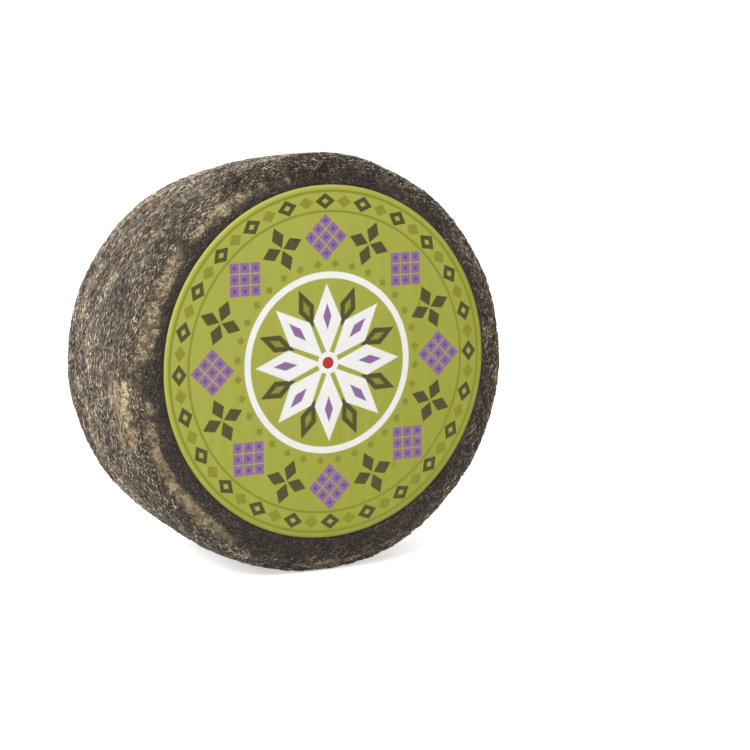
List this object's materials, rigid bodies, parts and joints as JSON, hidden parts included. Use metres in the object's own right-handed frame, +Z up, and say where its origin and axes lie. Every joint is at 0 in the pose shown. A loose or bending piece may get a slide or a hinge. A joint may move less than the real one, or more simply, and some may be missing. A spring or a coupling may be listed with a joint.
{
  "type": "goat cheese wheel with thyme rind",
  "caption": "Whole wheel of goat cheese in a dried thyme crust, standing on its rim, with a round paper label on the front face.",
  "frame": {"origin": "on the surface that the wheel stands on, under the middle of the whole part's box", "axes": "+Z up, the labelled front face looks towards -Y, +X to the right of someone who looks at the label"},
  "size_m": [0.242, 0.1384, 0.2392],
  "materials": {
    "thyme_rind": "matte crust of dark dried thyme over a tan rind",
    "label_paper": "printed paper with a satin coating"
  },
  "bodies": {
    "root": {"cheese_wheel": "thyme_rind", "label": "label_paper"}
  },
  "joints": []
}
